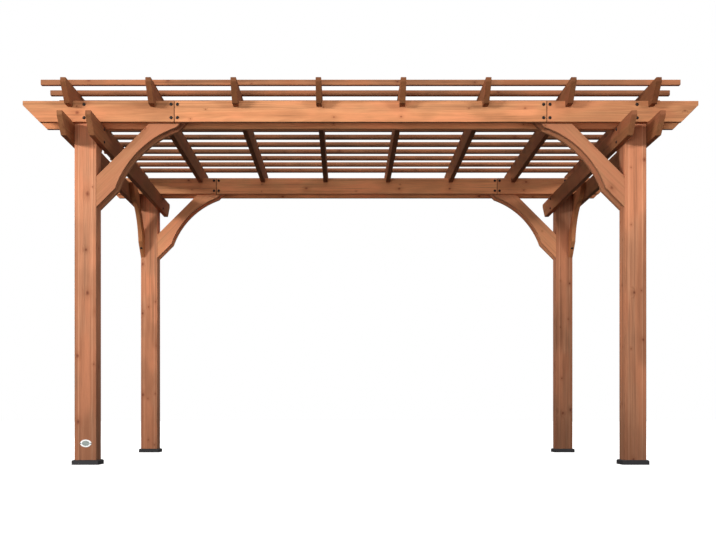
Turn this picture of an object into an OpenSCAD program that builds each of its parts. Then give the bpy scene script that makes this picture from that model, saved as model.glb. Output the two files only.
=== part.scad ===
// Free-standing timber pergola: four posts, paired side rails and beams, notched rafters and slats.
// Origin at the centre of the footprint on the ground, X along the beams, -Y to the front, Z up.

/* [Footprint] */
// Outside to outside of the posts along the beams
span_x = 3658; // [2400:1:5400]
// Outside to outside of the posts from front to rear
span_y = 2438; // [1800:1:3600]

/* [Posts] */
// Side of a square post
post_w = 140; // [100:1:180]
// Radius of the eased long edges of a post
post_edge = 5; // [2:0.5:8]

/* [Post shoes] */
// How far the moulded shoe stands out round its post
foot_rim = 15.5; // [8:0.5:40]
// Height of a shoe
foot_h = 31; // [20:1:80]
// Chamfer round the top of a shoe
foot_chamfer = 6; // [2:0.5:7]
// Thickness of the shoe under its post
foot_floor = 5; // [3:0.5:12]
// Play between a post and the pocket in its shoe
foot_play = 0.5; // [0.2:0.1:0.9]

/* [Framing boards] */
// Thickness of the rail, beam, rafter and brace boards
board_t = 35; // [20:1:48]
// Height from the ground to the underside of the side rails
rail_z = 2055; // [1900:1:2600]
// Depth of a side rail board
rail_d = 129; // [100:1:180]
// Depth of a beam board
beam_d = 133; // [100:1:180]
// Depth of a rafter board
rafter_d = 133; // [100:1:180]
// How far the side rails run on past the posts
rail_over = 305; // [150:1:600]
// How far the beams run on past the posts
beam_over = 321; // [150:1:600]
// How far the rafters run on past the posts
rafter_over = 222; // [150:1:400]
// Height of the upright nose left at a cut board end
nose_h = 27; // [15:1:60]

/* [Beam joints] */
// Length of each outer board of a beam, up to its butt joint
beam_end_len = 965; // [800:1:1100]
// Open joint between two beam boards
joint_gap = 1.2; // [1:0.1:4]

/* [Rafters] */
// Number of rafters
rafter_n = 8; // [4:1:12]
// Depth of the notch that seats a rafter on the beam boards
notch_d = 38; // [15:1:45]
// Play on each side of a beam board in a rafter notch
notch_play = 0.8; // [0.3:0.1:3]

/* [Slats] */
// Number of slats
slat_n = 12; // [6:1:16]
// Side of a square slat
slat_w = 33; // [20:1:50]
// How far the slats run on past the posts
slat_over = 200; // [120:1:400]
// How far the middle of the first slat lies ahead of the posts
slat_lead = 43; // [0:1:100]

/* [Corner braces] */
// Width of a brace board
brace_w = 138; // [100:1:160]
// Height from the ground to the lower corner of the braces
brace_z = 1650; // [1400:1:1700]
// How far the top of a brace stays below the top of the boards beside it
brace_top_gap = 4; // [1:0.5:20]
// Straight edge left at the lower end of the curved cut-out, measured level
brace_heel = 119; // [60:1:140]
// Length of the cut-out in a beam brace, measured level
beam_brace_cut = 390; // [150:1:420]
// Length of the cut-out in a rail brace, measured level
rail_brace_cut = 293; // [150:1:300]
// Depth of the cut-out into the board
brace_bow = 63; // [20:1:80]

/* [Hidden] */
ENDS = ["front", "rear"];
SIDES = ["left", "right"];
FACES = ["outer", "inner"];
function numbered(word, n) = [for (i = [1:n]) str(word, "_", i)];
function corners(word) = [for (e = ENDS) for (s = SIDES) str(word, "_", e, "_", s)];
function faces(places, word) = [for (p = places) for (f = FACES) str(p, "_", word, "_", f)];

// Planes and levels that the pieces share
half_x = span_x / 2;
half_y = span_y / 2;
post_x = half_x - post_w / 2;
post_y = half_y - post_w / 2;
rail_top = rail_z + rail_d;
beam_top = rail_top + beam_d;
rafter_z = beam_top - notch_d;
rafter_top = rafter_z + rafter_d;
beam_len = span_x + 2 * beam_over;
rail_len = span_y + 2 * rail_over;
rafter_len = span_y + 2 * rafter_over;
slat_len = span_x + 2 * slat_over;
joint_x = beam_len / 2 - beam_end_len;
// The outer rafters stand in line with the outer side rails
rafter_pitch = (span_x + board_t) / (rafter_n - 1);
slat_pitch = (span_y + 2 * slat_lead) / (slat_n - 1);
// How far a cutting tool runs on past the faces that it cuts
past = 1;

timber = "#c17a4c";
rafter_timber = "#7d4a32";
plastic = "#1c1b1b";

// Mirrors a piece drawn at the rear right to the corner at end e and side s
module at_corner(e, s) {
    mirror([0, e == "front" ? 1 : 0, 0])
        mirror([s == "left" ? 1 : 0, 0, 0])
            children();
}

// Side view of a board of length l and depth d: upright noses, then a 45 degree bevel under each end
module board_outline(l, d) {
    bevel = d - nose_h;
    polygon([
        [-l / 2, d], [l / 2, d], [l / 2, bevel], [l / 2 - bevel, 0],
        [-l / 2 + bevel, 0], [-l / 2, bevel]]);
}

// A board along X with its lower face at z = 0, from y = 0 to its thickness
module board_x(l, d) {
    translate([0, board_t, 0])
        rotate([90, 0, 0])
            linear_extrude(board_t) board_outline(l, d);
}

// The same board along Y, from x = 0 to its thickness
module board_y(l, d) {
    translate([board_t, 0, 0]) rotate([0, 0, 90]) board_x(l, d);
}

// A square post with rounded long edges, standing in its shoe
module post() {
    flat = post_w - 2 * post_edge;
    translate([post_x, post_y, foot_floor])
        linear_extrude(beam_top - foot_floor) {
            square([post_w, flat], center = true);
            square([flat, post_w], center = true);
            for (sx = [-1, 1])
                for (sy = [-1, 1])
                    translate([sx, sy] * flat / 2) circle(post_edge, $fn = 32);
        }
}

// Side view of a shoe: a block with a chamfer round its top
module foot_slab(w) {
    top = w / 2 - foot_chamfer;
    shoulder = foot_h - foot_chamfer;
    translate([0, 0, -w / 2])
        linear_extrude(w)
            polygon([
                [-w / 2, 0], [w / 2, 0], [w / 2, shoulder],
                [top, foot_h], [-top, foot_h], [-w / 2, shoulder]]);
}

// A moulded shoe with a pocket for its post
module foot() {
    outer = post_w + 2 * foot_rim;
    pocket = post_w + 2 * foot_play;
    translate([post_x, post_y, 0])
        difference() {
            intersection() {
                rotate([90, 0, 0]) foot_slab(outer);
                rotate([90, 0, 90]) foot_slab(outer);
            }
            translate([-pocket / 2, -pocket / 2, foot_floor]) cube([pocket, pocket, foot_h]);
        }
}

// Near side of a board that lies against the outer or the inner face of posts at half span h
function board_side(h, face) = face == "outer" ? h : h - post_w - board_t;

// Side rail along one side of the posts
module rail(face) {
    translate([board_side(half_x, face), 0, rail_z]) board_y(rail_len, rail_d);
}

// One face of a beam, in three boards butted end to end, resting on the side rails
module beam(face) {
    translate([0, board_side(half_y, face), rail_top])
        difference() {
            board_x(beam_len, beam_d);
            for (s = [-1, 1])
                translate([s * joint_x - joint_gap / 2, -past, -past])
                    cube([joint_gap, board_t + 2 * past, beam_d + 2 * past]);
        }
}

// Brace board seen square on: distance from the post along x, height above its lower corner along y.
// Its ends are cut to fit the post and the level of its top, and its lower edge has a curved cut-out.
module brace_board(rise, cut) {
    end_face = brace_w * sqrt(2);
    half_chord = cut / sqrt(2);
    cut_r = (half_chord * half_chord + brace_bow * brace_bow) / (2 * brace_bow);
    mid = brace_heel + cut / 2;
    offset_xy = (cut_r - brace_bow) / sqrt(2);
    linear_extrude(board_t)
        difference() {
            polygon([[0, 0], [0, end_face], [rise - end_face, rise], [rise, rise]]);
            translate([mid + offset_xy, mid - offset_xy]) circle(cut_r, $fn = 180);
        }
}

// Far side of each board of a beam's braces
BRACE_SIDES = [half_y, half_y - post_w + board_t];
beam_brace_rise = beam_top - brace_top_gap - brace_z;

// Pair of boards from the inner side of a post up between the two faces of a beam
module beam_brace() {
    for (y = BRACE_SIDES)
        translate([half_x - post_w, y - board_t, brace_z])
            rotate([90, 0, 180])
                brace_board(beam_brace_rise, beam_brace_cut);
}

// One board from a post up between the two rails, flush with the outside of the post
module rail_brace() {
    rise = rail_top - brace_top_gap - brace_z;
    translate([half_x - board_t, half_y - post_w, brace_z])
        mirror([0, 1, 0])
            rotate([90, 0, 90])
                brace_board(rise, rail_brace_cut);
}

// Room for a board of a beam from x = near to x = far, about the line y = mid
module notch(near, far, mid) {
    notch_w = board_t + 2 * notch_play;
    translate([near, mid - notch_w / 2, rafter_z - past]) cube([far - near, notch_w, notch_d + past]);
}

// Rafter i, notched down over the four beam faces, and over the top of any beam brace that it crosses
module rafter(i) {
    x = (i - (rafter_n + 1) / 2) * rafter_pitch;
    brace_near = half_x - post_w - beam_brace_rise - notch_play;
    brace_far = half_x - post_w - beam_brace_rise + brace_w * sqrt(2) + notch_d;
    difference() {
        translate([x - board_t / 2, 0, rafter_z]) board_y(rafter_len, rafter_d);
        for (s = [-1, 1]) {
            for (face = FACES)
                notch(x - board_t / 2 - past, x + board_t / 2 + past,
                    s * (board_side(half_y, face) + board_t / 2));
            for (y = BRACE_SIDES)
                for (end = [0, 1])
                    mirror([end, 0, 0])
                        notch(brace_near, brace_far, s * (y - board_t / 2));
        }
    }
}

// Slat i across the tops of the rafters
module slat(i) {
    y = (i - (slat_n + 1) / 2) * slat_pitch;
    translate([-slat_len / 2, y - slat_w / 2, rafter_top]) cube([slat_len, slat_w, slat_w]);
}

for (e = ENDS)
    for (s = SIDES) {
        color(plastic) at_corner(e, s) foot();
        color(timber) at_corner(e, s) post();
        color(timber) at_corner(e, s) beam_brace();
        color(timber) at_corner(e, s) rail_brace();
    }
for (face = FACES) {
    for (s = SIDES)
        color(rafter_timber) at_corner("rear", s) rail(face);
    for (e = ENDS)
        color(timber) at_corner(e, "right") beam(face);
}
for (i = [1:rafter_n])
    color(rafter_timber) rafter(i);
for (i = [1:slat_n])
    color(timber) slat(i);
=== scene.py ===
import math

import bmesh
import bpy
from mathutils import Matrix, Vector

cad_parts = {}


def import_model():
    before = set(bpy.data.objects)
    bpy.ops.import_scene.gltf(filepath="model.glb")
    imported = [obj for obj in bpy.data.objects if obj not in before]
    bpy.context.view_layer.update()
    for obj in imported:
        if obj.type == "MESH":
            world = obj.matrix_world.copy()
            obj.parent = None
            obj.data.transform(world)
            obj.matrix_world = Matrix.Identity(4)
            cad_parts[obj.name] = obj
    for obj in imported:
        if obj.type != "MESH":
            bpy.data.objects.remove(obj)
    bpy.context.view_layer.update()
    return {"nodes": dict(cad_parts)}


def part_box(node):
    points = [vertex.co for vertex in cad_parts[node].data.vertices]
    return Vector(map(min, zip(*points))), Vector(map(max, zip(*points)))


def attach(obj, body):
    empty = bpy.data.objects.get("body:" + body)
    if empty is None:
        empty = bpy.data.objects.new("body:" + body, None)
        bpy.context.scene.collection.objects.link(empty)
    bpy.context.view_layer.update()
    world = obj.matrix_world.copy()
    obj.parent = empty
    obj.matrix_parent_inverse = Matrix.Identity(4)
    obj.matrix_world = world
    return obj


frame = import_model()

# A timber pergola, in metres, with X along the beams and -Y to the front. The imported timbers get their
# materials and eased edges. Bolts and a blank plate are added at places worked out from the timbers.

NODES = frame["nodes"]
CORNERS = [(end, side) for end in ("front", "rear") for side in ("left", "right")]


def middle_of(name):
    low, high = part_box(name)
    return (low + high) / 2


POST_MIDDLE = {(end, side): middle_of(f"post_{end}_{side}") for end, side in CORNERS}


# ---------------------------------------------------------------- node trees

class Net:
    """Short names for the shader nodes that the materials and the world are built from."""

    def __init__(self, owner):
        self.owner = owner
        owner.use_nodes = True
        self.tree = owner.node_tree
        self.tree.nodes.clear()

    def node(self, kind, **settings):
        n = self.tree.nodes.new("ShaderNode" + kind)
        for key, value in settings.items():
            setattr(n, key, value)
        return n

    def put(self, socket, value):
        if isinstance(value, bpy.types.NodeSocket):
            self.tree.links.new(value, socket)
        else:
            socket.default_value = value

    def math(self, op, *values):
        n = self.node("Math", operation=op)
        for socket, value in zip(n.inputs, values):
            self.put(socket, value)
        return n.outputs[0]

    def add(self, a, b):
        return self.math("ADD", a, b)

    def sub(self, a, b):
        return self.math("SUBTRACT", a, b)

    def mul(self, a, b):
        return self.math("MULTIPLY", a, b)

    def size(self, value):
        return self.math("ABSOLUTE", value)

    def span(self, value, a, b, low=0.0, high=1.0, smooth=True):
        """value taken from a..b to low..high, and held beyond."""
        n = self.node("MapRange", clamp=True, interpolation_type="SMOOTHSTEP" if smooth else "LINEAR")
        for socket, v in zip(n.inputs, (value, a, b, low, high)):
            self.put(socket, v)
        return n.outputs[0]

    def vector(self, x, y, z):
        n = self.node("CombineXYZ")
        for socket, value in zip(n.inputs, (x, y, z)):
            self.put(socket, value)
        return n.outputs[0]

    def parts(self, vector):
        n = self.node("SeparateXYZ")
        self.put(n.inputs[0], vector)
        return n.outputs[0], n.outputs[1], n.outputs[2]

    def noise(self, vector, scale=1.0, detail=2.0, rough=0.5):
        n = self.node("TexNoise", noise_dimensions="3D")
        self.put(n.inputs["Vector"], vector)
        n.inputs["Scale"].default_value = scale
        n.inputs["Detail"].default_value = detail
        n.inputs["Roughness"].default_value = rough
        return n.outputs[0]

    def mix(self, factor, a, b, kind="MIX"):
        n = self.node("Mix", data_type="RGBA", blend_type=kind)
        self.put(n.inputs[0], factor)
        self.put(n.inputs[6], a)
        self.put(n.inputs[7], b)
        return n.outputs[2]

    def bump(self, height, distance):
        n = self.node("Bump")
        self.put(n.inputs["Height"], height)
        n.inputs["Distance"].default_value = distance
        n.inputs["Strength"].default_value = 0.5
        return n.outputs[0]

    def finish(self, **sockets):
        """The material, with the named sockets of its surface set or linked."""
        shader = self.node("BsdfPrincipled")
        for key, value in sockets.items():
            self.put(shader.inputs[key.replace("_", " ")], value)
        out = self.node("OutputMaterial")
        self.tree.links.new(shader.outputs[0], out.inputs[0])
        return self.owner


def srgb(r, g, b):
    """A colour given as 0-255, as the linear colour that shaders take."""
    lin = [c / 3294.6 if c <= 10.31 else ((c / 255 + 0.055) / 1.055) ** 2.4 for c in (r, g, b)]
    return (*lin, 1.0)


# ---------------------------------------------------------------- timber

# A kind of timber is the axis that it lies along, or brace_x or brace_y for the braces, which lean at
# 45 degrees toward the beams and toward the rails.
STRAIGHT = ("X", "Y", "Z")

KNOT_ROW = 0.06  # between rows of knots, across a timber
KNOT_LEAST = 0.0038  # radius of the smallest knot
KNOT_MORE = 0.0085  # what the widest adds to that
KNOT_HEART = srgb(138, 70, 46)
KNOT_PIT = srgb(78, 40, 28)

GLUE_LINE = 0.046  # from the middle of a post to the glue lines on its faces
# The pale line along each glue line is a painted highlight
GLUE_PAINTED_HIGHLIGHT = srgb(232, 172, 134)
GLUE_WIDTH = 0.0035

JOINT_STAIN = 0.0055  # how far the dark line reaches from a butt joint
CORNER_WEAR = 0.0055  # how far the rubbed corners reach

# Where the grain of a brace is measured from, across its board and through it
BRACE_ACROSS = 2.55
BRACE_DEEP = 1.15
# Between the two boards of a beam brace
PAIR_MIDDLE = abs(POST_MIDDLE["front", "left"].y)


def own_value(net, key):
    """A value that each timber carries as a property of its own."""
    return net.node("Attribute", attribute_type="OBJECT", attribute_name=key)


def place_on(net):
    return net.node("TexCoord").outputs["Object"]


def grain_axes(net, kind):
    """Where a point is along the grain, and across it two ways."""
    if kind in STRAIGHT:
        local = net.node("VectorMath", operation="SUBTRACT")
        net.put(local.inputs[0], place_on(net))
        net.put(local.inputs[1], own_value(net, "middle").outputs["Vector"])
        x, y, z = net.parts(local.outputs[0])
        return {"X": (x, y, z), "Y": (y, x, z), "Z": (z, x, y)}[kind]
    x, y, z = net.parts(place_on(net))
    out, deep = (x, y) if kind == "brace_x" else (y, x)
    out = net.size(out)
    along = net.mul(net.sub(z, out), math.sqrt(0.5))
    across = net.sub(net.mul(net.add(z, out), math.sqrt(0.5)), BRACE_ACROSS)
    return along, across, net.sub(net.size(deep), BRACE_DEEP)


def cut_number(net, kind):
    """A number for each board, so that boards butted or paired in one node differ."""
    number = own_value(net, "cut").outputs["Fac"]
    x, y = net.parts(place_on(net))[:2]
    if kind == "X":
        joint = own_value(net, "joint").outputs["Fac"]
        beyond_right = net.math("GREATER_THAN", x, joint)
        beyond_left = net.math("LESS_THAN", x, net.mul(joint, -1))
        number = net.add(number, net.mul(net.sub(beyond_right, beyond_left), 0.31))
    if kind == "brace_x":
        outer = net.math("GREATER_THAN", net.size(y), PAIR_MIDDLE)
        number = net.add(number, net.mul(outer, 0.43))
    return number


def knots(net, kind, shift, across, deep, turn, share, pitch):
    """Spots on each face, in rows across the timber as branches grow: heart, halo round it and pit."""
    nx, ny = net.parts(net.node("NewGeometry").outputs["True Normal"])[:2]
    facing_n, a_way, b_way = {
        "X": (ny, across, deep), "Y": (nx, across, deep), "Z": (nx, across, deep),
        "brace_x": (ny, deep, across), "brace_y": (nx, deep, across)}[kind]
    # The face that the point is on picks the way across
    on_face = net.math("GREATER_THAN", net.size(facing_n), 0.6)
    over = net.add(net.mul(on_face, b_way), net.mul(net.sub(1.0, on_face), a_way))
    over = net.add(net.add(over, net.mul(facing_n, 0.37)), net.mul(turn, 9.0))

    cell_l = net.mul(shift, 1 / pitch)
    cell_a = net.mul(over, 1 / KNOT_ROW)
    cell = net.node("TexVoronoi", voronoi_dimensions="2D", feature="F1")
    net.put(cell.inputs["Vector"], net.vector(cell_l, cell_a, 0.0))
    cell.inputs["Scale"].default_value = 1.0
    cell.inputs["Randomness"].default_value = 0.55
    knot_l, knot_a = net.parts(cell.outputs["Position"])[:2]
    drawn, grown = net.parts(cell.outputs["Color"])[:2]

    # How far off the knot is, as a share of its radius, with a ragged edge
    dl = net.mul(net.sub(cell_l, knot_l), pitch)
    da = net.mul(net.sub(cell_a, knot_a), KNOT_ROW)
    reach = net.math("SQRT", net.add(net.mul(net.mul(dl, dl), 0.6), net.mul(da, da)))
    radius = net.add(net.mul(net.mul(grown, grown), KNOT_MORE), KNOT_LEAST)
    ragged = net.noise(net.vector(net.mul(shift, 60.0), net.mul(across, 90.0), net.mul(deep, 90.0)))
    ratio = net.add(net.math("DIVIDE", reach, radius), net.mul(net.sub(ragged, 0.5), 0.7))

    there = net.math("LESS_THAN", drawn, share)
    heart = net.mul(there, net.span(ratio, 0.35, 1.45, 1.0, 0.0))
    halo = net.mul(there, net.span(ratio, 0.8, 4.5, 1.0, 0.0))
    pit = net.mul(heart, net.span(ratio, 0.1, 0.5, 1.0, 0.0))
    return heart, halo, pit


def timber(name, kind, light, dark, streak, knot_share, knot_pitch=0.42, ring=0.009, ring_show=0.26,
           foot_shade=1.0, mottle=1.0, laminated=False, middle_tone=1.0, end_tone=1.0):
    """Stained softwood, cut from a trunk of growth rings, with rows of knots and fine fibres."""
    net = Net(bpy.data.materials.new(name))
    along, across, deep = grain_axes(net, kind)
    white = net.node("TexWhiteNoise", noise_dimensions="1D")
    net.put(white.inputs["W"], cut_number(net, kind))
    r1, r2, r3 = net.parts(white.outputs["Color"])
    shift = net.add(net.mul(r1, 40.0), along)

    def grained(per_metre_along, per_metre_across, detail=2.0, rough=0.5, offset=0.0):
        """Noise drawn out along the grain."""
        return net.noise(net.vector(net.mul(shift, per_metre_along),
                                    net.add(net.mul(across, per_metre_across), offset),
                                    net.mul(deep, per_metre_across)), detail=detail, rough=rough)

    heart, halo, pit = knots(net, kind, shift, across, deep, r2, knot_share, knot_pitch)

    # Growth rings about a heart line that leans along the timber, bent round the knots
    wander = net.mul(net.sub(grained(1.1, 3.0), 0.5), 0.06)
    lean = net.mul(along, net.mul(net.sub(r3, 0.5), 0.05))
    ra = net.add(net.sub(across, net.add(net.add(net.mul(net.sub(r2, 0.5), 0.2), 0.03), lean)), wander)
    rb = net.sub(deep, net.add(net.mul(net.sub(r1, 0.5), 0.16), net.mul(r3, 0.05)))
    radial = net.math("SQRT", net.add(net.mul(ra, ra), net.mul(rb, rb)))
    uneven = net.noise(net.vector(net.mul(shift, 0.8), net.mul(radial, 26.0), r2), detail=1.0)
    rings = net.add(net.add(radial, net.mul(halo, 0.010)), net.mul(uneven, 0.026))
    phase = net.math("FRACT", net.math("DIVIDE", rings, ring))
    late = net.mul(net.span(phase, 0.25, 0.84), net.span(phase, 0.88, 1.0, 1.0, 0.0))
    late = net.mul(late, net.span(grained(0.9, 14.0, offset=5.0), 0.3, 0.62, 0.25, 1.0))

    # The stain's colour, and how light it is, vary along the grain from fine fibres to broad patches
    streaks = grained(0.9, 44.0, 3.0, 0.62)
    broad = grained(0.7, 13.0, 2.0, 0.5, 3.0)
    patches = grained(2.4, 5.0, 2.0, 0.5, 8.0)
    fibre = grained(14.0, 420.0, 3.0, 0.65)
    colour = net.mix(net.mul(late, ring_show), light, dark)
    colour = net.mix(net.span(streaks, 0.45, 0.68, 0.0, 0.7), colour, streak)
    colour = net.mix(net.span(broad, 0.42, 0.6, 0.0, 0.55 * mottle), colour, net.mix(0.55, light, dark))
    colour = net.mix(net.span(patches, 0.45, 0.6, 0.0, 0.6 * mottle), colour, streak)
    value = net.add(net.mul(net.sub(fibre, 0.5), 0.5), 1.0)
    value = net.mul(value, net.span(streaks, 0.3, 0.5, 1 - 0.16 * mottle, 1.0))
    value = net.mul(value, net.span(broad, 0.34, 0.56, 1 - 0.08 * mottle, 1 + 0.07 * mottle))
    value = net.mul(value, net.span(patches, 0.34, 0.6, 1 - 0.09 * mottle, 1 + 0.05 * mottle))

    if kind == "X":
        # Stain and dirt gather where two boards butt, and the end boards differ from the middle one
        x = net.parts(place_on(net))[0]
        past_joint = net.sub(net.size(x), own_value(net, "joint").outputs["Fac"])
        value = net.mul(value, net.span(net.size(past_joint), 0.001, JOINT_STAIN, 0.3, 1.0))
        value = net.mul(value, net.span(past_joint, -0.001, 0.001, middle_tone, end_tone))
    if laminated:
        # Each face across the glue lines shows a core between two thinner outer boards
        from_line = net.sub(net.size(across), GLUE_LINE)
        value = net.mul(value, net.span(from_line, 0.0, 0.002, 1.0, 0.93))
        # Along each glue line, a pale painted highlight over the seam
        painted_highlight = net.span(net.size(net.add(from_line, 0.003)), 0.0015, GLUE_WIDTH, 0.45, 0.0)
        colour = net.mix(painted_highlight, colour, GLUE_PAINTED_HIGHLIGHT)
    # Each timber's own tone, which for the inner slats is painted shade and for the rear-left post and
    # inner beam boards painted light
    value = net.mul(value, own_value(net, "tone").outputs["Fac"])
    if foot_shade < 1.0:
        # Darker toward the ground, down to foot_shade at the foot
        value = net.mul(value, net.span(along, -1.15, 0.45, foot_shade, 1.0, smooth=False))
    if kind in STRAIGHT:
        # End grain takes more stain
        n_along = net.parts(net.node("NewGeometry").outputs["True Normal"])[STRAIGHT.index(kind)]
        value = net.mul(value, net.span(net.size(n_along), 0.75, 0.95, 1.0, 0.82))

    colour = net.mix(net.mul(halo, 0.3), colour, dark)
    colour = net.mix(net.mul(heart, 0.72), colour, KNOT_HEART)
    colour = net.mix(net.mul(pit, 0.45), colour, KNOT_PIT)
    if kind in STRAIGHT:
        # Corners rubbed paler: on a face, both ways across are near their limit only at a corner
        hx, hy, hz = net.parts(own_value(net, "half").outputs["Vector"])
        ha, hb = {"X": (hy, hz), "Y": (hx, hz), "Z": (hx, hy)}[kind]
        gap = net.math("MAXIMUM", net.sub(ha, net.size(across)), net.sub(hb, net.size(deep)))
        rub = net.noise(net.vector(net.mul(shift, 9.0), net.mul(across, 30.0), net.mul(deep, 30.0)),
                        detail=3.0)
        wear = net.mul(net.span(gap, 0.0005, CORNER_WEAR, 1.0, 0.0), net.span(rub, 0.4, 0.62))
        colour = net.mix(net.mul(wear, 0.4), colour, light)
    tone = net.node("CombineColor")
    for socket in tone.inputs:
        net.put(socket, value)
    colour = net.mix(1.0, colour, tone.outputs[0], "MULTIPLY")

    rough = net.add(net.mul(net.sub(fibre, 0.5), 0.3), net.sub(0.74, net.mul(heart, 0.12)))
    height = net.add(net.mul(fibre, 0.5), net.mul(late, 0.3))
    height = net.sub(height, net.mul(heart, 0.4))
    return net.finish(Base_Color=colour, Roughness=rough, Normal=net.bump(height, 0.0006),
                      Specular_IOR_Level=0.14)


POST = timber("cedar_post", "Z", srgb(216, 150, 112), srgb(160, 94, 62), srgb(200, 130, 94),
              knot_share=0.68, knot_pitch=0.38, ring_show=0.32, foot_shade=0.5, mottle=1.8,
              laminated=True)
BEAM = timber("cedar_board_x", "X", srgb(224, 156, 108), srgb(160, 96, 60), srgb(208, 136, 94),
              knot_share=0.45, ring_show=0.36, mottle=1.6, middle_tone=1.08, end_tone=0.9)
RAIL = timber("cedar_board_y", "Y", srgb(172, 114, 74), srgb(120, 72, 46), srgb(152, 92, 62),
              knot_share=0.35, mottle=1.4)
RAFTER = timber("cedar_rafter", "Y", srgb(150, 96, 60), srgb(102, 60, 38), srgb(130, 76, 48),
                knot_share=0.4, mottle=1.3)
SLAT = timber("cedar_slat", "X", srgb(202, 138, 98), srgb(138, 84, 54), srgb(178, 114, 78),
              knot_share=0.35, knot_pitch=0.5, ring=0.006, mottle=2.2)
BEAM_BRACE = timber("cedar_brace_x", "brace_x", srgb(214, 148, 106), srgb(162, 98, 62),
                    srgb(204, 130, 94), knot_share=0.5, knot_pitch=0.3, ring_show=0.24)
RAIL_BRACE = timber("cedar_brace_y", "brace_y", srgb(206, 136, 88), srgb(150, 88, 54),
                    srgb(192, 118, 78), knot_share=0.35, knot_pitch=0.3, ring_show=0.16)


# ---------------------------------------------------------------- other finishes

def speckled(name, base, other, scale, rough, metal=0.0, height=0.0002):
    """Moulded or painted stuff with a fine mottled surface."""
    net = Net(bpy.data.materials.new(name))
    coarse = net.noise(place_on(net), scale, 3.0, 0.6)
    fine = net.noise(place_on(net), scale * 9, 2.0, 0.6)
    colour = net.mix(net.span(coarse, 0.35, 0.7), base, other)
    r = net.add(net.mul(net.sub(coarse, 0.5), 0.3), rough)
    return net.finish(Base_Color=colour, Roughness=r, Metallic=metal, Normal=net.bump(fine, height))


PLASTIC = speckled("black_plastic", srgb(20, 18, 21), srgb(34, 31, 34), 60.0, 0.65)
BOLT = speckled("bolt_black", srgb(24, 18, 17), srgb(48, 32, 26), 400.0, 0.5, metal=0.3, height=0.0001)
PLATE_RIM = speckled("badge_rim", srgb(250, 250, 248), srgb(226, 226, 224), 180.0, 0.4)
PLATE_FACE = speckled("badge_face", srgb(150, 160, 154), srgb(112, 122, 118), 160.0, 0.5)


# ---------------------------------------------------------------- the CAD timbers

END_CUTS = 0.4  # the cut end of a beam lies well within this of its tip
NO_JOINT = 9.0  # farther out than any timber reaches


def beam_joint():
    """How far from the middle a beam's boards butt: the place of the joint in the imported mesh."""
    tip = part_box("front_beam_outer")[1].x
    xs = sorted({round(v.co.x, 4) for v in NODES["front_beam_outer"].data.vertices if v.co.x > 0})
    inner = [x for x in xs if x < tip - END_CUTS]
    return sum(inner) / len(inner)


JOINT_X = beam_joint()

# How much darker or lighter than its kind each timber is. The posts on the right, the braces and the
# rafters simply differ in tone. The slats behind the first are darker as painted shade, for the shade of
# the roof over them. The rear-left post and the inner boards of both beams are lighter as painted light,
# in place of light that the lamps here don't bring them.
TONES_AND_PAINTED_LIGHT = {"post_front_right": 0.95, "post_rear_left": 1.16, "post_rear_right": 0.74,
         "rear_beam_inner": 1.2, "front_beam_inner": 1.2,
         "beam_brace_front_left": 0.76, "beam_brace_front_right": 0.8,
         "beam_brace_rear_left": 1.3, "beam_brace_rear_right": 1.14}
# Painted shade: the slats behind the first are darker, for the roof's shade over them, and slat_7 is the
# darkest
TONES_AND_PAINTED_LIGHT.update({f"slat_{i}": 0.55 + 0.06 * ((i * 5) % 4) for i in range(3, 13)})
TONES_AND_PAINTED_LIGHT.update({"slat_1": 0.81, "slat_2": 0.64, "slat_7": 0.45})
TONES_AND_PAINTED_LIGHT.update({f"rafter_{i}": 0.92 + 0.08 * ((i * 3) % 4) for i in range(1, 9)})

# The first word that a name holds gives the material, the width and segments of the eased edges, and
# where the boards butt, for the kinds that ask
FINISHES = (
    ("post", POST, 0.003, 3, None),
    ("foot", PLASTIC, 0.0025, 3, None),
    ("beam_brace", BEAM_BRACE, 0.0025, 2, None),
    ("rail_brace", RAIL_BRACE, 0.0025, 2, None),
    ("beam", BEAM, 0.0025, 2, JOINT_X),
    ("rail", RAIL, 0.0025, 2, None),
    ("rafter", RAFTER, 0.0025, 2, None),
    ("slat", SLAT, 0.002, 2, NO_JOINT),
)


def ease(node, width, segments):
    """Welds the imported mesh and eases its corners, inside its own size."""
    weld = node.modifiers.new("weld", "WELD")
    weld.merge_threshold = 0.00005
    bevel = node.modifiers.new("eased", "BEVEL")
    bevel.width = width
    bevel.segments = segments
    bevel.limit_method = "ANGLE"
    bevel.angle_limit = math.radians(30)


def dress(name, cut):
    node = NODES[name]
    _, material, width, segments, joint = next(row for row in FINISHES if row[0] in name)
    for slot in node.material_slots:
        slot.material = material
    low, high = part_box(name)
    node["middle"] = list(middle_of(name))
    node["half"] = list((high - low) / 2)
    node["tone"] = TONES_AND_PAINTED_LIGHT.get(name, 1.0)
    node["cut"] = cut
    if joint is not None:
        node["joint"] = joint
    ease(node, width, segments)


# Summed step by step: the grain is drawn from the exact number, and a product would round differently
cut = 0.0
for name in sorted(NODES):
    cut += 0.173
    dress(name, cut)


# ---------------------------------------------------------------- small pieces

def lathe(bm, profile, steps, place):
    """A solid turned about Z from (radius, height) points, set down by the matrix place."""
    rows = []
    for r, z in profile:
        if r == 0.0:
            rows.append([bm.verts.new(place @ Vector((0, 0, z)))])
        else:
            turns = [2 * math.pi * k / steps for k in range(steps)]
            rows.append([bm.verts.new(place @ Vector((r * math.cos(a), r * math.sin(a), z)))
                         for a in turns])
    for a, b in zip(rows, rows[1:]):
        for k in range(steps):
            n = (k + 1) % steps
            if len(a) == 1:
                bm.faces.new((a[0], b[k], b[n]))
            elif len(b) == 1:
                bm.faces.new((a[k], b[0], a[n]))
            else:
                bm.faces.new((a[k], b[k], b[n], a[n]))


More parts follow.
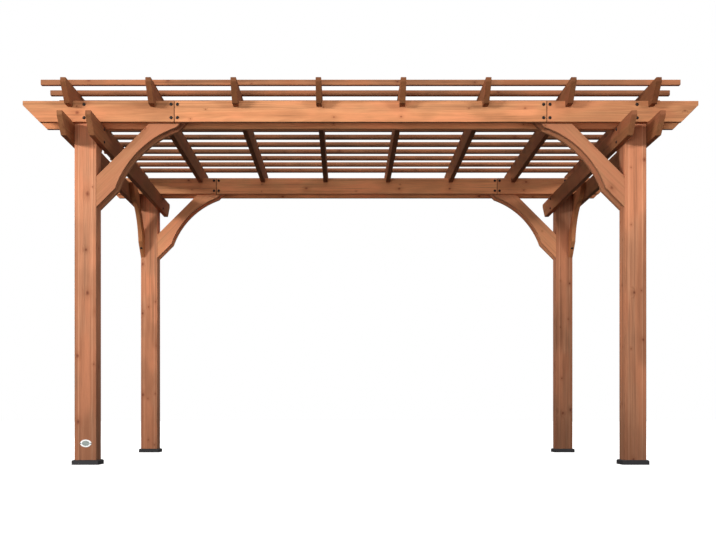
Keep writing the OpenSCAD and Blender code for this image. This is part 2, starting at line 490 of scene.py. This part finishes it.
def piece(name, bm, materials):
    bmesh.ops.recalc_face_normals(bm, faces=bm.faces)
    mesh = bpy.data.meshes.new(name)
    bm.to_mesh(mesh)
    bm.free()
    obj = bpy.data.objects.new(name, mesh)
    bpy.context.scene.collection.objects.link(obj)
    for material in materials:
        mesh.materials.append(material)
    mesh.shade_smooth()
    mesh.set_sharp_from_angle(angle=math.radians(35))
    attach(obj, "root")


def facing(point, normal):
    """The matrix that stands a turned piece on a face at point, with its axis along normal."""
    return Matrix.Translation(point) @ Vector(normal).to_track_quat("Z", "Y").to_matrix().to_4x4()


# A washer under a domed head with a socket, from the back that is sunk in the timber to the socket
WASHER_R = 0.0105
BOLT_PROFILE = [(0.0, -0.004), (WASHER_R, -0.004), (WASHER_R, 0.0012), (WASHER_R - 0.0006, 0.0018),
                (0.0088, 0.0020), (0.0080, 0.0038), (0.0062, 0.0052), (0.0036, 0.0060),
                (0.0030, 0.0058), (0.0028, 0.0036), (0.0, 0.0033)]

# From the edges of a board and from a butt joint to the bolts, and from the lower corner of a side
# brace to its lag bolt, both level and up
BOLT_FROM_TOP = 0.022
BOLT_FROM_FOOT = 0.026
BOLT_FROM_JOINT = 0.020
LAG_OUT = 0.07


def bolts(name, spots):
    bm = bmesh.new()
    for point, normal in spots:
        lathe(bm, BOLT_PROFILE, 20, facing(point, normal))
    piece(name, bm, [BOLT])


for end, away in (("front", -1), ("rear", 1)):
    for face, out in (("outer", away), ("inner", -away)):
        low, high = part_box(f"{end}_beam_{face}")
        y = low.y if out < 0 else high.y
        xs = [POST_MIDDLE[end, side].x for side in ("left", "right")]
        xs += [s * JOINT_X + d for s in (-1, 1) for d in (-BOLT_FROM_JOINT, BOLT_FROM_JOINT)]
        zs = (high.z - BOLT_FROM_TOP, low.z + BOLT_FROM_FOOT)
        bolts(f"bolts_{end}_beam_{face}", [(Vector((x, y, z)), (0, out, 0)) for x in xs for z in zs])

for side, away in (("left", -1), ("right", 1)):
    for face, out in (("outer", away), ("inner", -away)):
        low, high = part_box(f"{side}_rail_{face}")
        x = low.x if out < 0 else high.x
        ys = [POST_MIDDLE[end, side].y for end in ("front", "rear")]
        zs = (high.z - BOLT_FROM_TOP, low.z + BOLT_FROM_FOOT)
        bolts(f"bolts_{side}_rail_{face}", [(Vector((x, y, z)), (out, 0, 0)) for y in ys for z in zs])

# A lag bolt up through the lower end of each side brace, square to its edge
for end, side in CORNERS:
    low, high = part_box(f"rail_brace_{end}_{side}")
    inward = 1 if end == "front" else -1
    post_face = low.y if end == "front" else high.y
    spot = Vector(((low.x + high.x) / 2, post_face + inward * LAG_OUT, low.z + LAG_OUT))
    bolts(f"lag_bolt_{end}_{side}", [(spot, (0, inward, -1))])


# ---------------------------------------------------------------- badge

BADGE_HALF_W = 0.0375
BADGE_HALF_H = 0.0245
BADGE_Z = 0.137  # height of its middle
BADGE_ASIDE = 0.003  # how far right of the middle of the post
BADGE_BACK = -0.0005  # sunk a little in the post
BADGE_T = 0.0018
BADGE_RIM_T = 0.0026
BADGE_STEPS = 64
SCREW_OUT = 0.0325  # from the middle of the badge to each screw
SCREW_PROFILE = [(0.0, -0.001), (0.004, -0.001), (0.004, 0.0011), (0.0028, 0.0022), (0.0, 0.0026)]


def badge_ring(bm, share, height):
    """The badge's outline at a share of its size: an oval, slightly pointed at the two ends."""
    row = []
    for k in range(BADGE_STEPS):
        a = 2 * math.pi * k / BADGE_STEPS
        c, s = math.cos(a), math.sin(a)
        x = BADGE_HALF_W * share * (abs(c) ** 0.9) * (1 if c >= 0 else -1)
        y = BADGE_HALF_H * share * (abs(s) ** 1.35) * (1 if s >= 0 else -1)
        row.append(bm.verts.new((x, y, height)))
    return row


def badge():
    """A blank oval plate on the front left post, with a raised rim and a screw at each end."""
    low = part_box("post_front_left")[0]
    x = POST_MIDDLE["front", "left"].x + BADGE_ASIDE
    bm = bmesh.new()
    rings = [badge_ring(bm, share, height) for share, height in (
        (1.0, BADGE_BACK), (1.0, BADGE_T), (0.965, BADGE_RIM_T), (0.70, BADGE_RIM_T), (0.67, BADGE_T))]
    rings.append([bm.verts.new((0, 0, BADGE_T))])
    bm.faces.new(reversed(rings[0]))
    for a, b in zip(rings, rings[1:]):
        in_middle = len(b) == 1
        for k in range(BADGE_STEPS):
            n = (k + 1) % BADGE_STEPS
            face = bm.faces.new((a[k], a[n], b[0]) if in_middle else (a[k], a[n], b[n], b[k]))
            face.material_index = 1 if in_middle else 0
    bmesh.ops.transform(bm, matrix=facing(Vector((x, low.y, BADGE_Z)), (0, -1, 0)), verts=bm.verts)
    piece("badge_plate", bm, [PLATE_RIM, PLATE_FACE])
    bm = bmesh.new()
    for s in (-1, 1):
        spot = Vector((x + s * SCREW_OUT, low.y - BADGE_T, BADGE_Z))
        lathe(bm, SCREW_PROFILE, 16, facing(spot, (0, -1, 0)))
    piece("badge_screws", bm, [BOLT])


badge()


# ---------------------------------------------------------------- stage, lights and camera

FLOOR_REACH = 40.0


def floor():
    """A plain pale floor, which lights nothing."""
    bm = bmesh.new()
    bmesh.ops.create_grid(bm, x_segments=2, y_segments=2, size=FLOOR_REACH)
    mesh = bpy.data.meshes.new("floor")
    bm.to_mesh(mesh)
    bm.free()
    obj = bpy.data.objects.new("floor", mesh)
    bpy.context.scene.collection.objects.link(obj)
    net = Net(bpy.data.materials.new("floor_pale"))
    mesh.materials.append(net.finish(Base_Color=(0.55, 0.55, 0.55, 1), Roughness=0.9,
                                     Emission_Color=(1, 1, 1, 1), Emission_Strength=0.8))
    obj.visible_diffuse = False
    obj.visible_glossy = False


def world():
    """Soft light all round that grows toward the zenith, and a white backdrop for the camera."""
    net = Net(bpy.data.worlds.new("studio"))
    bpy.context.scene.world = net.owner
    up = net.parts(net.node("TexCoord").outputs["Generated"])[2]
    sky = net.add(net.span(up, -0.15, 0.35, 0.07, 0.36, smooth=False),
                  net.span(up, 0.55, 0.95, 0.0, 1.1, smooth=False))
    strength = net.node("Mix")
    net.put(strength.inputs["Factor"], net.node("LightPath").outputs["Is Camera Ray"])
    net.put(strength.inputs["A"], sky)
    net.put(strength.inputs["B"], 1.0)
    back = net.node("Background")
    net.put(back.inputs["Color"], (1, 1, 1, 1))
    net.put(back.inputs["Strength"], strength.outputs[0])
    out = net.node("OutputWorld")
    net.put(out.inputs[0], back.outputs[0])


def lamp(name, place, aim, size, power, spread=180, glossy=True):
    light = bpy.data.lights.new(name, "AREA")
    light.shape = "RECTANGLE"
    light.size, light.size_y = size
    light.energy = power
    light.spread = math.radians(spread)
    obj = bpy.data.objects.new(name, light)
    bpy.context.scene.collection.objects.link(obj)
    obj.location = place
    obj.rotation_euler = (Vector(aim) - Vector(place)).to_track_quat("-Z", "Y").to_euler()
    obj.visible_glossy = glossy


def camera():
    """Level, at the photograph's place, with the lens shifted up as its framing needs."""
    lens = bpy.data.cameras.new("camera")
    lens.lens = 55.54
    lens.sensor_width = 36.0
    lens.sensor_fit = "HORIZONTAL"
    lens.shift_x = 0.0179
    lens.shift_y = 0.2012
    lens.clip_end = 200.0
    obj = bpy.data.objects.new("camera", lens)
    bpy.context.scene.collection.objects.link(obj)
    obj.location = (-0.0978, -8.281, 0.3245)
    obj.rotation_euler = (math.pi / 2, 0, 0)
    bpy.context.scene.camera = obj


floor()
world()
lamp("key_left", place=(-8.2, -10.0, 3.45), aim=(-0.4, -1.2, 2.2), size=(3.2, 0.9), power=250, spread=95)
lamp("key_right", place=(7.4, -10.0, 3.45), aim=(0.2, -1.2, 2.2), size=(3.2, 0.9), power=112, spread=95)
lamp("fill", place=(-2.2, -9.3, 0.8), aim=(0, 0, 1.9), size=(3.0, 1.6), power=158)
lamp("back", place=(-3.4, 9.6, 4.2), aim=(0, 1.2, 1.9), size=(2.5, 1.2), power=220, spread=110,
     glossy=False)
lamp("left", place=(-9.5, 1.5, 4.2), aim=(-0.5, 0, 1.4), size=(3.0, 1.5), power=90, glossy=False)
lamp("right", place=(5.2, 0.6, 3.4), aim=(1.8, 0, 1.5), size=(2.4, 1.2), power=28, glossy=False)
camera()
bpy.context.scene.view_settings.view_transform = "Standard"
